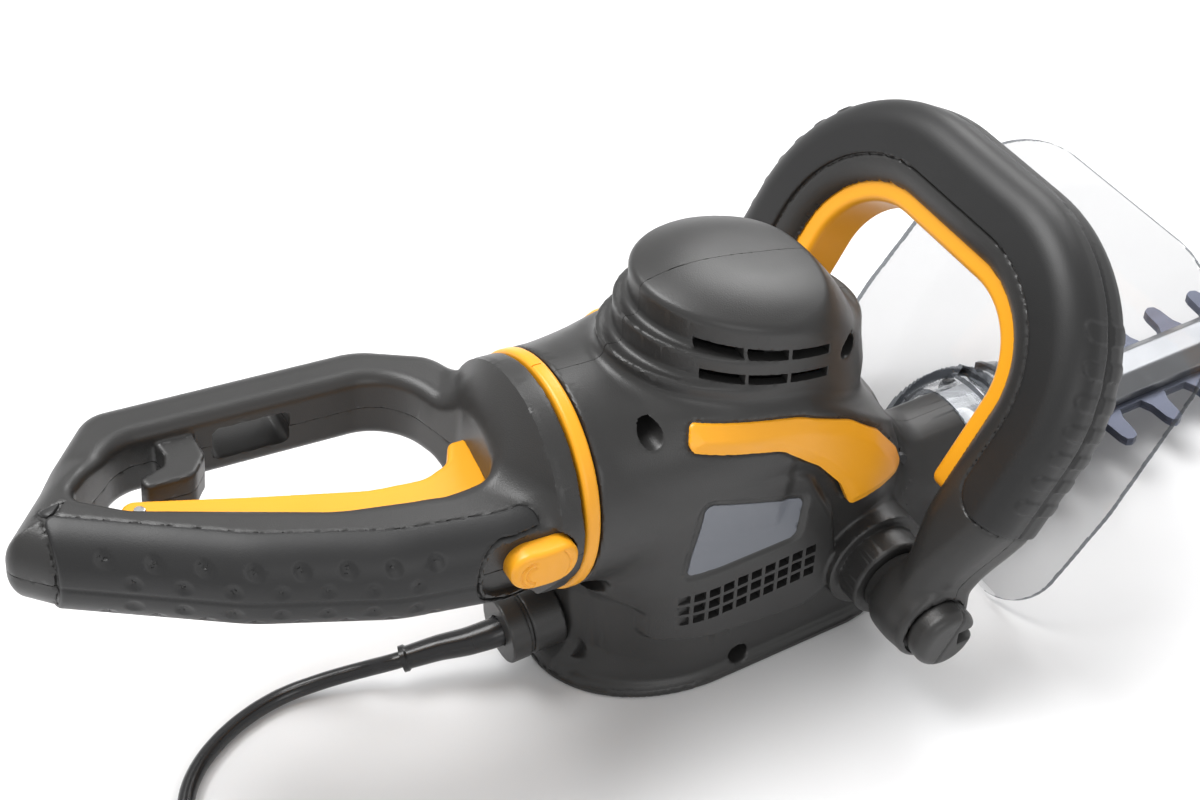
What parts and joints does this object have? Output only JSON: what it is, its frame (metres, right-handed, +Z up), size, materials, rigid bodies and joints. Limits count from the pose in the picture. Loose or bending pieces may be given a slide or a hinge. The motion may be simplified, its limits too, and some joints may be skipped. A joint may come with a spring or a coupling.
{
  "type": "hedge trimmer",
  "caption": "Corded electric hedge trimmer with a swivelling rear handle, a D-shaped front handle, a clear hand guard and a pair of counter-moving toothed blades.",
  "frame": {"origin": "on the floor under the motor's axis, in the middle of the machine's width", "axes": "+X forward along the blades, +Y to the machine's left, +Z up"},
  "size_m": [1.0605, 0.3198, 0.1792],
  "materials": {
    "body_plastic": "dark grey, fine texture, satin",
    "grip_rubber": "soft, near black",
    "amber_plastic": "amber yellow, satin gloss",
    "badge_plastic": "slate grey, blank",
    "clear_plastic": "clear polycarbonate",
    "black_plastic": "black",
    "cord_rubber": "black, glossy",
    "blade_steel": "dark, ground edges",
    "steel": "bright",
    "alloy": "satin",
    "copper": "copper, enamelled wire and bars",
    "bronze": "sintered bronze",
    "carbon": "graphite",
    "film_case": "blue"
  },
  "bodies": {
    "root": {"housing_right": "body_plastic", "housing_left": "body_plastic", "flash_right": "amber_plastic", "flash_left": "amber_plastic", "badge_right": "badge_plastic", "badge_left": "badge_plastic", "housing_screws": "steel", "swivel_ring": "amber_plastic", "stator": "steel", "field_coils": "copper", "motor_bracket": "black_plastic", "brush_holders": "bronze", "carbon_brushes": "carbon", "upper_bearing": "steel", "lower_bearing": "steel", "gear_case": "alloy", "gear_case_plate": "steel", "gear_case_screws": "steel", "gear_bush": "bronze", "guide_bar": "alloy", "blade_screws": "steel", "tip_guard": "body_plastic", "guard": "clear_plastic", "guard_screws": "steel", "handle_shell_rear": "body_plastic", "handle_shell_front": "body_plastic", "handle_grip": "grip_rubber", "handle_bolts": "steel", "handle_knobs": "body_plastic", "handle_switch": "black_plastic", "capacitor": "film_case", "cord_gland": "body_plastic", "cord_clamp": "black_plastic", "strain_relief": "cord_rubber", "cord": "cord_rubber", "plug": "cord_rubber"},
    "rear_handle": {"rear_shell_upper": "body_plastic", "rear_shell_lower": "body_plastic", "rear_grip": "grip_rubber", "rear_handle_screws": "steel", "main_switch": "black_plastic", "trigger_pin": "steel", "lock_spring": "steel"},
    "trigger": {"trigger": "amber_plastic"},
    "lock_button": {"lock_button": "amber_plastic"},
    "switch_bar": {"switch_bar": "amber_plastic"},
    "armature": {"armature_shaft": "steel", "armature_core": "steel", "commutator": "copper", "fan": "black_plastic"},
    "gear": {"reduction_gear": "steel"},
    "upper_blade": {"upper_blade": "blade_steel"},
    "lower_blade": {"lower_blade": "blade_steel"}
  },
  "joints": [
    {"name": "rear_handle_swivel", "type": "hinge", "parent": "root", "child": "rear_handle", "pos_m": [-0.087, 0, 0.105], "axis": [0.9925, 0, -0.1219], "range_deg": [-180, 0]},
    {"name": "trigger_pull", "type": "hinge", "parent": "rear_handle", "child": "trigger", "pos_m": [-0.22298, 0.023, 0.1217], "axis": [0.1219, 0, 0.9925], "range_deg": [-3.5, 0], "stiffness_Nm_per_rad": 8, "springref_deg": 1.15},
    {"name": "lock_slide", "type": "slide", "parent": "rear_handle", "child": "lock_button", "axis": [-0.9925, 0, 0.1219], "range_m": [0, 0.006], "stiffness_N_per_m": 400, "springref_m": -0.001},
    {"name": "switch_bar_squeeze", "type": "slide", "parent": "root", "child": "switch_bar", "axis": [0.5075, 0, 0.8616], "range_m": [0, 0.005], "stiffness_N_per_m": 1500, "springref_m": -0.001},
    {"name": "gear_turn", "type": "hinge", "parent": "root", "child": "gear", "pos_m": [0.03, 0, 0.037], "axis": [0, 0, 1], "continuous": true},
    {"name": "armature_turn", "type": "hinge", "parent": "root", "child": "armature", "pos_m": [0, 0, 0.1], "axis": [0, 0, 1], "continuous": true},
    {"name": "upper_blade_stroke", "type": "slide", "parent": "root", "child": "upper_blade", "axis": [1, 0, 0], "range_m": [-0.0062, 0.0062]},
    {"name": "lower_blade_stroke", "type": "slide", "parent": "root", "child": "lower_blade", "axis": [1, 0, 0], "range_m": [-0.0062, 0.0062]}
  ],
  "couplings": [
    {"joint": "armature_turn", "follows": "gear_turn", "ratio": -5},
    {"joint": "lower_blade_stroke", "follows": "upper_blade_stroke", "ratio": -1}
  ]
}
